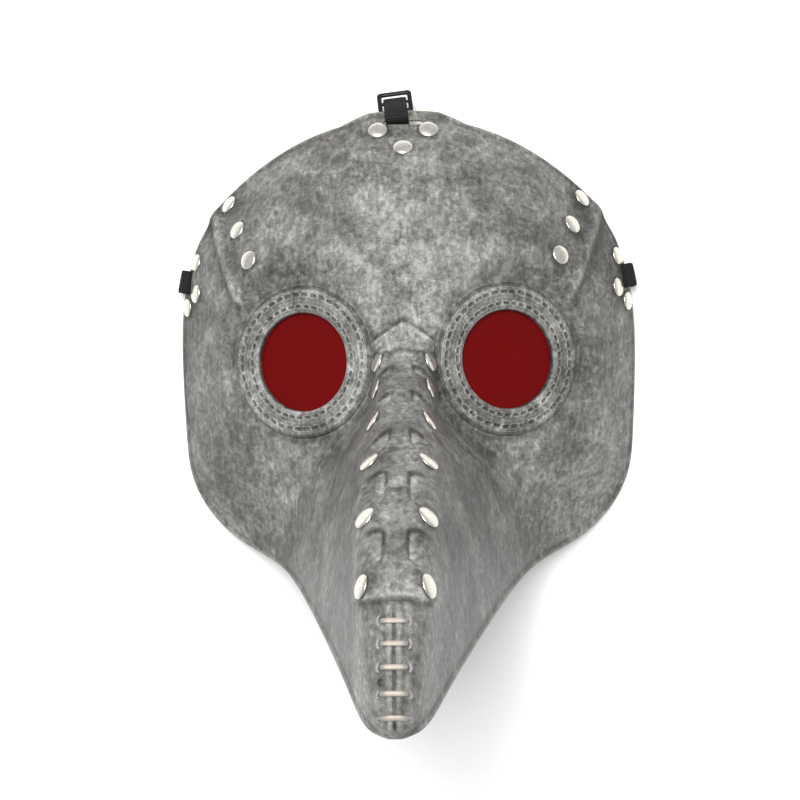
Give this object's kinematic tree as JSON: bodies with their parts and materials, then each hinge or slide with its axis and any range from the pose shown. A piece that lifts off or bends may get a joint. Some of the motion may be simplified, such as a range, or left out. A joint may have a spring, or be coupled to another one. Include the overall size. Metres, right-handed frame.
{
  "type": "plague doctor mask",
  "caption": "Moulded beaked face mask with round red lenses, capped rivets, an open back and underside, and elastic straps with tri-glide buckles.",
  "frame": {"origin": "middle of the box, on the table the rim rests on", "axes": "+Z the way the face looks and up from the table, +Y towards the top of the head, +X to the viewer's right"},
  "size_m": [0.2006, 0.235, 0.2121],
  "materials": {
    "sheet": "antiqued grey faux leather, crinkled grain, worn tan edges",
    "lens": "clear red film",
    "rivet": "polished nickel",
    "elastic": "black ribbed elastic",
    "buckle": "black moulded plastic"
  },
  "bodies": {
    "mask": {"shell": "sheet", "lens_left": "lens", "lens_right": "lens", "caps_top": "rivet", "caps_forehead_left": "rivet", "caps_forehead_right": "rivet", "caps_temple_left": "rivet", "caps_temple_right": "rivet", "caps_beak_left": "rivet", "caps_beak_right": "rivet", "backs_top": "rivet", "backs_forehead_left": "rivet", "backs_forehead_right": "rivet", "backs_temple_left": "rivet", "backs_temple_right": "rivet", "backs_beak_left": "rivet", "backs_beak_right": "rivet", "top_strap": "elastic", "side_strap": "elastic"},
    "top_buckle": {"top_buckle": "buckle"},
    "left_buckle": {"left_buckle": "buckle"},
    "right_buckle": {"right_buckle": "buckle"}
  },
  "joints": [
    {"name": "top_buckle_rock", "type": "hinge", "parent": "mask", "child": "top_buckle", "pos_m": [-0.0037, 0.11123, 0.0126], "axis": [0.9936, 0.1132, 0], "range_deg": [-10, 10]},
    {"name": "left_buckle_slide", "type": "slide", "parent": "mask", "child": "left_buckle", "axis": [-0.9816, 0.1908, 0], "range_m": [-0.01, 0.006]},
    {"name": "right_buckle_slide", "type": "slide", "parent": "mask", "child": "right_buckle", "axis": [0.9816, 0.1908, 0], "range_m": [-0.01, 0.006]}
  ]
}
